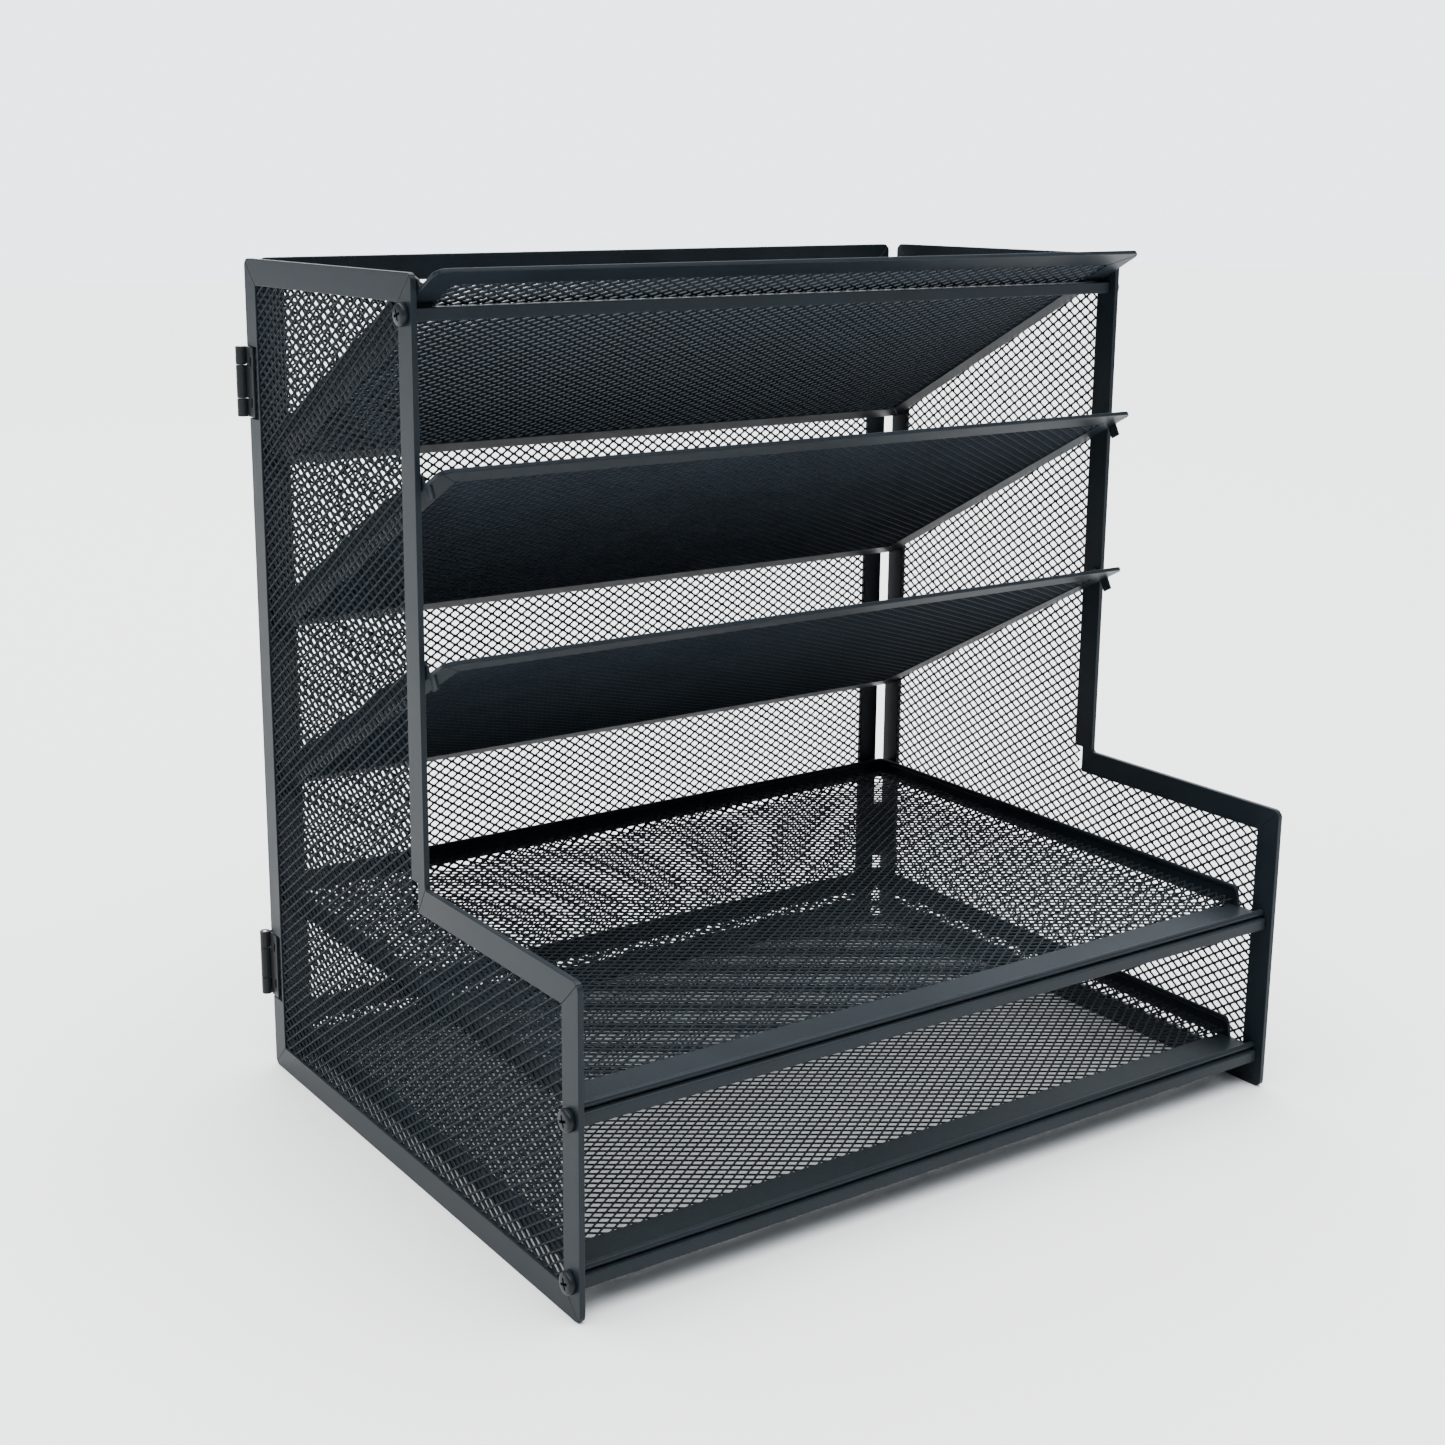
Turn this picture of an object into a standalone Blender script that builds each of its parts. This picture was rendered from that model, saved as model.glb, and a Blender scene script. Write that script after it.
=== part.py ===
"""Desktop file sorter of powder-coated steel mesh, in metres, +Z up.

A back panel carries two side panels on corner hinges. Three sloping pocket shelves and two
level letter trays lie between the sides, and three crossbars, each held by a screw through
either side panel, keep the panels square. The front of the sorter is -Y, and the origin is
the middle of the bounding box's base.
"""

import math

import bmesh
import bpy
from mathutils import Matrix, Vector

MM = 0.001

# Overall sizes
WIDTH = 325 * MM  # over the side panels' outer faces
HEIGHT = 329 * MM
UPPER_DEPTH = 139 * MM  # side panel, from its rear edge to its upper front edge
LOWER_DEPTH = 241 * MM  # side panel, from its rear edge to its lower front edge
STEP_HEIGHT = 117 * MM  # top edge of the deeper lower part of a side panel

# Panels: a flat frame of mitred strips around expanded mesh
SHEET = 2.2 * MM
FRAME_FACE = 10 * MM
CORNER_RADIUS = 3 * MM
STEP_RADIUS = 1.5 * MM
STEP_NOTCH = 4.5 * MM  # how far the opening reaches forward under the post, beside the step
STEP_NOTCH_RISE = 1 * MM  # roof of that notch over the step's top edge
MESH_THICKNESS = 0.8 * MM
BACK_SIDE_GAP = 4.3 * MM  # open slot between the back panel and either side panel
BACK_OFFSET = 0.1 * MM  # back panel's front face behind the side panels' rear edges

# Shelves
SHELF_COUNT = 3
SHELF_SLOPE = math.radians(28.3)
SHELF_OVERHANG = 12.5 * MM  # rim in front of the upper front edge
SHELF_RIM_RISE = 2 * MM  # top shelf's rim over the panels' top edge
SHELF_STEP_CLEARANCE = 4 * MM  # lowest shelf's rear edge over the step
SHELF_BORDER = 10 * MM
SHELF_HEM = 1.6 * MM
SHELF_CORNER = 4 * MM
SHELF_FLANGE_HEIGHT = 5.5 * MM
SHELF_FLANGE_SHEET = 1.2 * MM
SHELF_FLANGE_INSET = 0.2 * MM  # flanges and tabs behind the border's outer edges
SHELF_TAB_WIDTH = 4.2 * MM
SHELF_TAB_DROP = 5 * MM

# Trays
TRAY_SHEET = 0.8 * MM
TRAY_WALL = 1.6 * MM
TRAY_RIM_HEIGHT = 8.6 * MM  # rim's top over the tray's floor
TRAY_REAR_RADIUS = 4 * MM
TRAY_MARGIN_WIDTH = 9 * MM  # sloping strip of mesh between the floor and the rim
TRAY_MARGIN_RISE = 3.2 * MM
TRAY_FRONT_BORDER = 16 * MM
TRAY_RIM_SETBACK = 16 * MM  # ends of the side rims behind the lower front edge
TRAY_BEAD_RADIUS = 1.25 * MM
TRAY_BEAD_SETBACK = 5 * MM  # bead's middle behind the lower front edge

# Crossbars and their screws
BAR_HEIGHT = 4.6 * MM
BAR_DEPTH = 6 * MM
SCREW_INSET = 5.6 * MM  # screws behind the front edges that they pass through
LOWER_SCREW_HEIGHT = 13 * MM
TRAY_PITCH = 56.5 * MM
SHANK_RADIUS = 1.45 * MM
SHANK_REACH = 6 * MM  # screw's length inside the crossbar
SHANK_CLEARANCE = 0.35 * MM
HOLE_RUNOUT = 1 * MM
HEAD_RADIUS = 4 * MM
HEAD_HEIGHT = 2.4 * MM
HEAD_CROWN = 0.3 * MM  # rise of the head's middle over its rounded edge
HEAD_ROUNDING = 0.5 * MM

# Hinges
HINGE_HEIGHT = 27 * MM
HINGE_TOP_DROP = 47 * MM  # upper hinge's middle below the panels' top edge
HINGE_LOWER_HEIGHT = 43.7 * MM
AXIS_OUTSET = 1.2 * MM  # hinge axis outside the side panel's outer face
AXIS_SETBACK = 3.5 * MM  # hinge axis behind the side panel's rear edge
BARREL_RADIUS = 2.1 * MM
PIN_RADIUS = 0.9 * MM
PIN_CLEARANCE = 0.3 * MM
LEAF = 0.9 * MM
LEAF_TONGUE = 0.5 * MM  # end of a leaf inside its knuckles, short of the hinge's axis
SIDE_LEAF_REACH = 5 * MM  # side leaf's length along the panel
BACK_LEAF_REACH = 8 * MM  # back leaf's length along the back panel
MIDDLE_KNUCKLE = 12.6 * MM
RECESS_REACH = 8.8 * MM
RECESS_MARGIN = 0.3 * MM
SLOT_LENGTH = 3.9 * MM
SLOT_WIDTH = 1.6 * MM
SLOT_SPACING = 15.8 * MM
SLOT_INSET = 2.6 * MM  # slots' middle line in front of the panel's rear edge

# Clearances and the fineness of round pieces
FIT_GAP = 0.3 * MM
CUT_EXTRA = 2 * MM
WELD = 0.00001
ARC_STEPS = 4
ROUND_SEGMENTS = 20
SHARP_ANGLE = math.radians(40)
BORE_SEGMENTS = 16

# Places that follow from the sizes above
REAR_Y = (LOWER_DEPTH - AXIS_SETBACK - BARREL_RADIUS) / 2
LOWER_FRONT_Y = REAR_Y - LOWER_DEPTH
BACK_FRONT_Y = REAR_Y + BACK_OFFSET
INNER_HALF = WIDTH / 2 - SHEET
FITTED_HALF = INNER_HALF - FIT_GAP
BACK_HALF = INNER_HALF - BACK_SIDE_GAP
AXIS_X = WIDTH / 2 + AXIS_OUTSET
AXIS_Y = REAR_Y + AXIS_SETBACK
HINGE_HEIGHTS = {"upper": HEIGHT - HINGE_TOP_DROP, "lower": HINGE_LOWER_HEIGHT}
SIDES = {"left": -1, "right": 1}

SHELF_FRONT_Y = REAR_Y - UPPER_DEPTH - SHELF_OVERHANG
TOP_RIM = HEIGHT + SHELF_RIM_RISE
TOP_BAR_Y = REAR_Y - UPPER_DEPTH + SCREW_INSET
TOP_BAR_CEILING = (
    TOP_RIM
    - (TOP_BAR_Y + BAR_DEPTH / 2 - SHELF_FRONT_Y) * math.tan(SHELF_SLOPE)
    - SHELF_HEM / math.cos(SHELF_SLOPE)
)
TOP_BAR = (TOP_BAR_Y, TOP_BAR_CEILING - FIT_GAP - BAR_HEIGHT / 2)
UPPER_TRAY_BAR = (LOWER_FRONT_Y + SCREW_INSET, LOWER_SCREW_HEIGHT + TRAY_PITCH)
LOWER_TRAY_BAR = (LOWER_FRONT_Y + SCREW_INSET, LOWER_SCREW_HEIGHT)
BARS = {"top": TOP_BAR, "upper_tray": UPPER_TRAY_BAR, "lower_tray": LOWER_TRAY_BAR}

PANEL_TURN = (math.radians(90), 0, math.radians(-90))  # outline x forward, y up
BACK_TURN = (math.radians(90), 0, 0)  # outline x to the right, y up

BLACK_COAT = (0.022, 0.026, 0.030)
ZINC = (0.42, 0.43, 0.44)
COAT_ROUGHNESS = 0.45
MESH_ROUGHNESS = 0.5
ZINC_ROUGHNESS = 0.35


def start_scene():
    """Empties the scene and makes the collections for the sorter and its cutters."""
    for item in list(bpy.data.objects):
        bpy.data.objects.remove(item)
    for name in ("desktop_file_sorter", "cutters"):
        bpy.context.scene.collection.children.link(bpy.data.collections.new(name))


def finish_piece(piece, colour=BLACK_COAT, roughness=COAT_ROUGHNESS, metallic=0):
    """Gives a piece its own material."""
    material = bpy.data.materials.new(piece.name + "_finish")
    material.use_nodes = True
    shader = material.node_tree.nodes["Principled BSDF"]
    shader.inputs["Base Color"].default_value = (*colour, 1)
    shader.inputs["Roughness"].default_value = roughness
    shader.inputs["Metallic"].default_value = metallic
    piece.data.materials.append(material)


def add_object(name, mesh, place, turn=(0, 0, 0), parent=None):
    """Puts a mesh into the sorter at a world place, riding on a parent empty if given."""
    piece = bpy.data.objects.new(name, mesh)
    bpy.data.collections["desktop_file_sorter"].objects.link(piece)
    piece.location = Vector(place) - (parent.location if parent else Vector())
    piece.rotation_euler = turn
    piece.parent = parent
    return piece


def as_tool(tool):
    """Takes a shape out of the sorter: it only cuts, or is joined to, another piece."""
    bpy.data.collections["desktop_file_sorter"].objects.unlink(tool)
    bpy.data.collections["cutters"].objects.link(tool)
    tool.hide_render = True
    tool.display_type = "WIRE"
    return tool


def combine(piece, tool, operation):
    """Adds a Boolean of the given operation with a tool shape."""
    boolean = piece.modifiers.new(tool.name, "BOOLEAN")
    boolean.operation = operation
    boolean.solver = "EXACT"
    boolean.object = as_tool(tool)


def rounded(corners):
    """Outline points for corners (x, y, radius), each radius over zero becoming an arc."""
    points = []
    for index, (x, y, radius) in enumerate(corners):
        corner = Vector((x, y))
        if radius == 0:
            points.append(corner)
            continue
        following = corners[(index + 1) % len(corners)]
        before = (Vector(corners[index - 1][:2]) - corner).normalized()
        after = (Vector(following[:2]) - corner).normalized()
        half_angle = before.angle(after) / 2
        centre = corner + (before + after).normalized() * radius / math.sin(half_angle)
        first = corner + before * radius / math.tan(half_angle) - centre
        last = corner + after * radius / math.tan(half_angle) - centre
        start = math.atan2(first.y, first.x)
        turn = (math.atan2(last.y, last.x) - start + math.pi) % (2 * math.pi) - math.pi
        for step in range(ARC_STEPS + 1):
            angle = start + turn * step / ARC_STEPS
            points.append(centre + radius * Vector((math.cos(angle), math.sin(angle))))
    return points


def rectangle(left, bottom, right, top, radius=0):
    """Outline of a rectangle with equal corner radii."""
    return rounded(
        [(left, bottom, radius), (right, bottom, radius), (right, top, radius), (left, top, radius)]
    )


def plate_mesh(name, outlines, thickness):
    """Flat plate centred on its outlines' plane; each outline inside another is a hole."""
    curve = bpy.data.curves.new(name, "CURVE")
    curve.dimensions = "2D"
    curve.fill_mode = "BOTH"
    curve.extrude = thickness / 2
    for outline in outlines:
        spline = curve.splines.new("POLY")
        spline.points.add(len(outline) - 1)
        spline.use_cyclic_u = True
        for point, (x, y) in zip(spline.points, outline):
            point.co = (x, y, 0, 1)
    flat = bpy.data.objects.new(name, curve)
    bpy.context.scene.collection.objects.link(flat)
    evaluated = flat.evaluated_get(bpy.context.evaluated_depsgraph_get())
    mesh = bpy.data.meshes.new_from_object(evaluated)
    bpy.data.objects.remove(flat)
    return welded(mesh)


def welded(mesh):
    """Joins a mesh's loose caps to its walls."""
    shape = bmesh.new()
    shape.from_mesh(mesh)
    bmesh.ops.remove_doubles(shape, verts=shape.verts, dist=WELD)
    bmesh.ops.recalc_face_normals(shape, faces=shape.faces)
    shape.to_mesh(mesh)
    shape.free()
    return mesh


def box_mesh(name, size):
    """Box centred on its origin."""
    shape = bmesh.new()
    bmesh.ops.create_cube(shape, size=1, matrix=Matrix.Diagonal((*size, 1)))
    mesh = bpy.data.meshes.new(name)
    shape.to_mesh(mesh)
    shape.free()
    return mesh


def rod_mesh(name, radius, length, segments=ROUND_SEGMENTS):
    """Round rod along Z, centred on its origin."""
    shape = bmesh.new()
    bmesh.ops.create_cone(
        shape, cap_ends=True, segments=segments, radius1=radius, radius2=radius, depth=length
    )
    mesh = bpy.data.meshes.new(name)
    shape.to_mesh(mesh)
    shape.free()
    return mesh


def smooth(piece):
    """Shades a round piece smoothly up to its sharp edges."""
    piece.data.shade_smooth()
    piece.data.set_sharp_from_angle(angle=SHARP_ANGLE)


# ---------------------------------------------------------------- panels


def side_outer():
    """Outline of a side panel: x forward from the rear edge, y up from the base."""
    return rounded(
        [
            (0, 0, CORNER_RADIUS),
            (LOWER_DEPTH, 0, CORNER_RADIUS),
            (LOWER_DEPTH, STEP_HEIGHT, CORNER_RADIUS),
            (UPPER_DEPTH, STEP_HEIGHT, STEP_RADIUS),
            (UPPER_DEPTH, HEIGHT, CORNER_RADIUS),
            (0, HEIGHT, CORNER_RADIUS),
        ]
    )


def side_inner(gap):
    """Outline of a side panel's opening, drawn in by a gap, with its notch at the step."""
    edge = FRAME_FACE + gap
    notch_roof = STEP_HEIGHT + STEP_NOTCH_RISE - gap
    return rounded(
        [
            (edge, edge, 0),
            (LOWER_DEPTH - edge, edge, 0),
            (LOWER_DEPTH - edge, STEP_HEIGHT - edge, 0),
            (UPPER_DEPTH - edge + STEP_NOTCH, STEP_HEIGHT - edge, 0),
            (UPPER_DEPTH - edge + STEP_NOTCH, notch_roof, 0),
            (UPPER_DEPTH - edge, notch_roof, 0),
            (UPPER_DEPTH - edge, HEIGHT - edge, 0),
            (edge, HEIGHT - edge, 0),
        ]
    )


def add_side_panel(side, sign, hinge_empty):
    """Side frame with its hinge recesses and screw holes, and the mesh inside it."""
    middle = (sign * (WIDTH / 2 - SHEET / 2), REAR_Y, 0)
    frame_shape = plate_mesh(side + "_frame", [side_outer(), side_inner(0)], SHEET)
    frame = add_object(side + "_side_frame", frame_shape, middle, PANEL_TURN, hinge_empty)
    for height in HINGE_HEIGHTS.values():
        size = (2 * (LEAF + RECESS_MARGIN), 2 * RECESS_REACH, HINGE_HEIGHT + 2 * RECESS_MARGIN)
        place = (sign * WIDTH / 2, REAR_Y, height)
        recess = add_object(side + "_recess_cutter", box_mesh("recess", size), place)
        combine(frame, recess, "DIFFERENCE")
    for bar_y, bar_z in BARS.values():
        rod = rod_mesh("screw_hole", SHANK_RADIUS + SHANK_CLEARANCE, SHEET + CUT_EXTRA, BORE_SEGMENTS)
        turn = (0, math.radians(90), 0)
        hole = add_object(side + "_hole_cutter", rod, (middle[0], bar_y, bar_z), turn)
        combine(frame, hole, "DIFFERENCE")
    finish_piece(frame)

    mesh_shape = plate_mesh(side + "_mesh", [side_inner(FIT_GAP)], MESH_THICKNESS)
    mesh = add_object(side + "_side_mesh", mesh_shape, middle, PANEL_TURN, hinge_empty)
    finish_piece(mesh, roughness=MESH_ROUGHNESS)


def add_back_panel():
    """Back frame and its mesh, between the rear edges of the side panels."""
    middle = (0, BACK_FRONT_Y + SHEET / 2, 0)
    outer = rectangle(-BACK_HALF, 0, BACK_HALF, HEIGHT, CORNER_RADIUS)
    opening = BACK_HALF - FRAME_FACE
    inner = rectangle(-opening, FRAME_FACE, opening, HEIGHT - FRAME_FACE)
    frame = add_object("back_frame", plate_mesh("back_frame", [outer, inner], SHEET), middle, BACK_TURN)
    finish_piece(frame)

    half = opening - FIT_GAP
    edge = FRAME_FACE + FIT_GAP
    outline = rectangle(-half, edge, half, HEIGHT - edge)
    mesh = add_object("back_mesh", plate_mesh("back_mesh", [outline], MESH_THICKNESS), middle, BACK_TURN)
    finish_piece(mesh, roughness=MESH_ROUGHNESS)


# ---------------------------------------------------------------- shelves


def add_shelf(level, rear_place, length):
    """Sloping shelf: a hemmed border with side flanges, and the mesh inside the border.

    It is built level, with y running back to the rear edge at 0 and its top face at z = 0.
    """
    turn = (-SHELF_SLOPE, 0, 0)
    half = FITTED_HALF
    outer = rounded(
        [
            (-half, -length, SHELF_CORNER),
            (half, -length, SHELF_CORNER),
            (half, 0, 0),
            (-half, 0, 0),
        ]
    )
    inner_half = half - SHELF_BORDER
    inner = rectangle(-inner_half, SHELF_BORDER - length, inner_half, -SHELF_BORDER)
    border_mesh = plate_mesh("shelf_border", [outer, inner], SHELF_HEM)
    sloped = Matrix.Rotation(-SHELF_SLOPE, 4, "X")

    def shelf_point(x, y, z):
        return Vector(rear_place) + sloped @ Vector((x, y, z))

    name = level + "_shelf_frame"
    frame = add_object(name, border_mesh, shelf_point(0, 0, -SHELF_HEM / 2), turn)
    flange_length = (UPPER_DEPTH - REAR_Y + rear_place[1]) / math.cos(SHELF_SLOPE)
    flange_size = (
        SHELF_FLANGE_SHEET,
        flange_length - 2 * SHELF_FLANGE_INSET,
        SHELF_FLANGE_HEIGHT + SHELF_HEM / 2,
    )
    tab_size = (SHELF_FLANGE_SHEET, SHELF_TAB_WIDTH, SHELF_TAB_DROP + SHELF_HEM / 2)
    for side, sign in SIDES.items():
        x = sign * (half - SHELF_FLANGE_INSET - SHELF_FLANGE_SHEET / 2)
        place = shelf_point(x, -flange_length / 2, (SHELF_FLANGE_HEIGHT - SHELF_HEM / 2) / 2)
        flange = add_object(side + "_flange", box_mesh("flange", flange_size), place, turn)
        combine(frame, flange, "UNION")
        if level != "top":
            tab_z = -SHELF_HEM / 2 - tab_size[2] / 2
            place = shelf_point(x, -flange_length - SHELF_TAB_WIDTH / 2, tab_z)
            tab = add_object(side + "_tab", box_mesh("tab", tab_size), place, turn)
            combine(frame, tab, "UNION")
    finish_piece(frame)

    mesh_half = inner_half - FIT_GAP
    edge = SHELF_BORDER + FIT_GAP
    outline = rectangle(-mesh_half, edge - length, mesh_half, -edge)
    mesh_shape = plate_mesh("shelf_mesh", [outline], MESH_THICKNESS)
    mesh = add_object(level + "_shelf_mesh", mesh_shape, shelf_point(0, 0, -SHELF_HEM / 2), turn)
    finish_piece(mesh, roughness=MESH_ROUGHNESS)


def add_shelves():
    """Evenly pitched shelves from the panels' top edge down to the step."""
    rear_y = BACK_FRONT_Y - FIT_GAP - SHELF_FLANGE_HEIGHT * math.sin(SHELF_SLOPE)
    length = (rear_y - SHELF_FRONT_Y) / math.cos(SHELF_SLOPE)
    top_rear = TOP_RIM - length * math.sin(SHELF_SLOPE)
    pitch = (top_rear - STEP_HEIGHT - SHELF_STEP_CLEARANCE) / (SHELF_COUNT - 1)
    for index, level in enumerate(("top", "middle", "bottom")):
        add_shelf(level, (0, rear_y, top_rear - index * pitch), length)


# ---------------------------------------------------------------- trays


def add_tray(level, bar_height):
    """Letter tray resting on its crossbar: a rim with a front border, and a dished mesh."""
    base = bar_height + BAR_HEIGHT / 2 + FIT_GAP
    floor = base + TRAY_SHEET
    half = FITTED_HALF
    rear = BACK_FRONT_Y - FIT_GAP
    rim_front = LOWER_FRONT_Y + TRAY_RIM_SETBACK
    bead_y = LOWER_FRONT_Y + TRAY_BEAD_SETBACK
    border_rear = bead_y + TRAY_FRONT_BORDER

    inner_radius = TRAY_REAR_RADIUS - TRAY_WALL
    outline = rounded(
        [
            (-half, rim_front, 0),
            (-half + TRAY_WALL, rim_front, 0),
            (-half + TRAY_WALL, rear - TRAY_WALL, inner_radius),
            (half - TRAY_WALL, rear - TRAY_WALL, inner_radius),
            (half - TRAY_WALL, rim_front, 0),
            (half, rim_front, 0),
            (half, rear, TRAY_REAR_RADIUS),
            (-half, rear, TRAY_REAR_RADIUS),
        ]
    )
    rim_height = TRAY_RIM_HEIGHT + TRAY_SHEET
    rim_mesh = plate_mesh(level + "_tray_rim", [outline], rim_height)
    rim = add_object(level + "_tray_rim", rim_mesh, (0, 0, base + rim_height / 2))
    size = (2 * half, TRAY_FRONT_BORDER, TRAY_SHEET)
    place = (0, (bead_y + border_rear) / 2, base + TRAY_SHEET / 2)
    combine(rim, add_object("border", box_mesh("border", size), place), "UNION")
    bead_mesh = rod_mesh("bead", TRAY_BEAD_RADIUS, 2 * half, BORE_SEGMENTS)
    bead_z = base + TRAY_BEAD_RADIUS + TRAY_SHEET / 2
    bead = add_object("bead", bead_mesh, (0, bead_y, bead_z), (0, math.radians(90), 0))
    combine(rim, bead, "UNION")
    finish_piece(rim)

    width = 2 * (half - TRAY_WALL - FIT_GAP)
    mesh_rear = rear - TRAY_WALL - FIT_GAP
    mesh_front = border_rear + FIT_GAP
    shape = bmesh.new()
    bmesh.ops.create_grid(shape, x_segments=3, y_segments=2, size=0.5)
    columns = sorted({round(vertex.co.x, 4) for vertex in shape.verts})
    rows = sorted({round(vertex.co.y, 4) for vertex in shape.verts})
    flat_x = width / 2 - TRAY_MARGIN_WIDTH
    corner_pull = inner_radius * (1 - math.sqrt(0.5))
    for vertex in shape.verts:
        column = columns.index(round(vertex.co.x, 4))
        row = rows.index(round(vertex.co.y, 4))
        on_rim = column in (0, 3) or row == 2
        vertex.co = (
            (-width / 2, -flat_x, flat_x, width / 2)[column],
            (mesh_front, mesh_rear - TRAY_MARGIN_WIDTH, mesh_rear)[row],
            TRAY_MARGIN_RISE if on_rim else 0,
        )
        if column in (0, 3) and row == 2:
            vertex.co.x -= math.copysign(corner_pull, vertex.co.x)
            vertex.co.y -= corner_pull
    dish = bpy.data.meshes.new(level + "_tray_mesh")
    shape.to_mesh(dish)
    shape.free()
    mesh = add_object(level + "_tray_mesh", dish, (0, 0, floor))
    solidify = mesh.modifiers.new("thickness", "SOLIDIFY")
    solidify.thickness = MESH_THICKNESS
    solidify.offset = -1
    finish_piece(mesh, roughness=MESH_ROUGHNESS)


# ---------------------------------------------------------------- crossbars and screws


def add_crossbar(name, bar_y, bar_z):
    """Crossbar between the side panels, with a screw hole in either end."""
    size = (2 * FITTED_HALF, BAR_DEPTH, BAR_HEIGHT)
    bar = add_object(name + "_crossbar", box_mesh("crossbar", size), (0, bar_y, bar_z))
    depth = SHANK_REACH + HOLE_RUNOUT
    for side, sign in SIDES.items():
        rod = rod_mesh("bar_hole", SHANK_RADIUS + SHANK_CLEARANCE, 2 * depth, BORE_SEGMENTS)
        place = (sign * FITTED_HALF, bar_y, bar_z)
        hole = add_object(side + "_bar_hole_cutter", rod, place, (0, math.radians(90), 0))
        combine(bar, hole, "DIFFERENCE")
    finish_piece(bar)


def screw_mesh():
    """Half outline of a pan-head screw, from the crown of its head down to its tip."""
    length = WIDTH / 2 + FIT_GAP - (FITTED_HALF - SHANK_REACH)
    crown = HEAD_HEIGHT - HEAD_CROWN
    profile = [
        (0, HEAD_HEIGHT),
        (HEAD_RADIUS - HEAD_ROUNDING, crown),
        (HEAD_RADIUS, crown - HEAD_ROUNDING),
        (HEAD_RADIUS, 0),
        (SHANK_RADIUS, 0),
        (SHANK_RADIUS, SHANK_RADIUS - length),
        (0, -length),
    ]
    shape = bmesh.new()
    points = [shape.verts.new((x, 0, z)) for x, z in profile]
    for upper, lower in zip(points, points[1:]):
        shape.edges.new((upper, lower))
    mesh = bpy.data.meshes.new("pan_head_screw")
    shape.to_mesh(mesh)
    shape.free()
    return mesh


def add_screw(side, sign, bar_name, bar_y, bar_z, hinge_empty):
    """Pan-head screw through a side panel into the end of a crossbar."""
    place = (sign * (WIDTH / 2 + FIT_GAP), bar_y, bar_z)
    turn = (0, sign * math.radians(90), 0)
    screw = add_object(f"{side}_{bar_name}_screw", screw_mesh(), place, turn, hinge_empty)
    turned = screw.modifiers.new("turned", "SCREW")
    turned.angle = math.radians(360)
    turned.steps = ROUND_SEGMENTS
    turned.render_steps = ROUND_SEGMENTS
    turned.use_merge_vertices = True
    turned.merge_threshold = WELD
    finish_piece(screw)
    smooth(screw)


# ---------------------------------------------------------------- hinges


def slot_outline(x, y):
    """Upright slot with round ends."""
    half_width = SLOT_WIDTH / 2
    half_length = SLOT_LENGTH / 2
    return rectangle(x - half_width, y - half_length, x + half_width, y + half_length, half_width)


def side_leaf_outline():
    """Side leaf: x forward from the rear edge, y up from the hinge's middle."""
    half = HINGE_HEIGHT / 2
    knuckle = MIDDLE_KNUCKLE / 2
    shoulder = BARREL_RADIUS + FIT_GAP - AXIS_SETBACK
    tongue = LEAF_TONGUE - AXIS_SETBACK
    return rounded(
        [
            (SIDE_LEAF_REACH, -half, 0),
            (SIDE_LEAF_REACH, half, 0),
            (shoulder, half, 0),
            (shoulder, knuckle, 0),
            (tongue, knuckle, 0),
            (tongue, -knuckle, 0),
            (shoulder, -knuckle, 0),
            (shoulder, -half, 0),
        ]
    )


def back_leaf_outline(sign):
    """Back leaf: x sideways from the hinge's axis towards the middle, y up."""
    half = HINGE_HEIGHT / 2
    knuckle = MIDDLE_KNUCKLE / 2 + FIT_GAP
    shoulder = BARREL_RADIUS + FIT_GAP
    tongue = LEAF_TONGUE
    reach = AXIS_X - BACK_HALF + BACK_LEAF_REACH
    inward = -sign
    return rounded(
        [
            (inward * reach, -half, 0),
            (inward * reach, half, 0),
            (inward * tongue, half, 0),
            (inward * tongue, knuckle, 0),
            (inward * shoulder, knuckle, 0),
            (inward * shoulder, -knuckle, 0),
            (inward * tongue, -knuckle, 0),
            (inward * tongue, -half, 0),
        ]
    )


def add_knuckle(leaf, bottom, top, sign):
    """Joins a barrel knuckle between two heights to a hinge leaf."""
    rod = rod_mesh("knuckle", BARREL_RADIUS, top - bottom)
    place = (sign * AXIS_X, AXIS_Y, (bottom + top) / 2)
    combine(leaf, add_object(leaf.name + "_knuckle", rod, place), "UNION")


def cut_bore(leaf, height, sign):
    """Bores a leaf's knuckles for the pin."""
    rod = rod_mesh("bore", PIN_RADIUS + PIN_CLEARANCE, HINGE_HEIGHT + CUT_EXTRA, BORE_SEGMENTS)
    bore = add_object(leaf.name + "_bore_cutter", rod, (sign * AXIS_X, AXIS_Y, height))
    combine(leaf, bore, "DIFFERENCE")


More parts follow.
